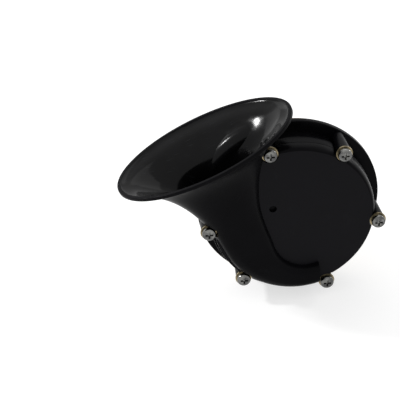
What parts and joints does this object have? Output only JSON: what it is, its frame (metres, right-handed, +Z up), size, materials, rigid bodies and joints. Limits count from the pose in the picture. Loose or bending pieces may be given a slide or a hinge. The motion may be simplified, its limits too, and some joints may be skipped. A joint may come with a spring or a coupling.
{
  "type": "car horn",
  "caption": "Electric car horn: black moulded spiral trumpet with an upturned oval bell, screwed to a stepped yellow-zinc steel case with an M8 mounting stud",
  "frame": {"origin": "centre of the seat round the mounting stud, on the outside of the steel case", "axes": "+Y along the mounting stud, out of the case; the trumpet's closed front faces -Y; +Z up as in the picture, +X to the right as seen from the front"},
  "size_m": [0.1497, 0.0887, 0.1176],
  "materials": {
    "black_plastic": "injection moulded, satin on the plate, gloss in the bell",
    "zinc_yellow": "yellow passivated zinc on pressed steel",
    "zinc_bright": "bright zinc plate",
    "zinc_gold": "yellow passivated zinc",
    "steel": "turned low carbon steel",
    "spring_steel": "rolled spring steel",
    "copper": "enamelled copper wire",
    "nylon": "natural nylon",
    "fibre": "phenolic paper board",
    "gasket_paper": "oiled gasket paper",
    "tungsten": "sintered contact metal",
    "brass": "rolled brass"
  },
  "bodies": {
    "horn": {"trumpet_front": "black_plastic", "trumpet_back": "black_plastic", "trumpet_screws": "zinc_bright", "flat_washers": "zinc_gold", "spring_washers": "zinc_bright", "case": "zinc_yellow", "gasket_rear": "gasket_paper", "diaphragm": "spring_steel", "gasket_front": "gasket_paper", "core_stud": "zinc_yellow", "stud_collar": "zinc_bright", "coil_bobbin": "nylon", "coil_winding": "copper", "contact_bracket": "steel", "moving_contact_spring": "spring_steel", "contact_insulators": "fibre", "moving_contact": "tungsten", "fixed_contact": "tungsten", "contact_rivets": "brass", "adjusting_screw": "zinc_bright", "adjusting_locknut": "zinc_bright", "terminal_block": "fibre", "terminal_blades": "brass", "terminal_rivets": "brass"},
    "armature_body": {"armature": "steel", "armature_rivet": "steel", "diaphragm_washer": "steel"}
  },
  "joints": [
    {"name": "armature_stroke", "type": "slide", "parent": "horn", "child": "armature_body", "axis": [0, 1, 0], "range_m": [-0.0004, 0.0006], "stiffness_N_per_m": 20000, "deforming": ["diaphragm", "moving_contact_spring"]}
  ]
}
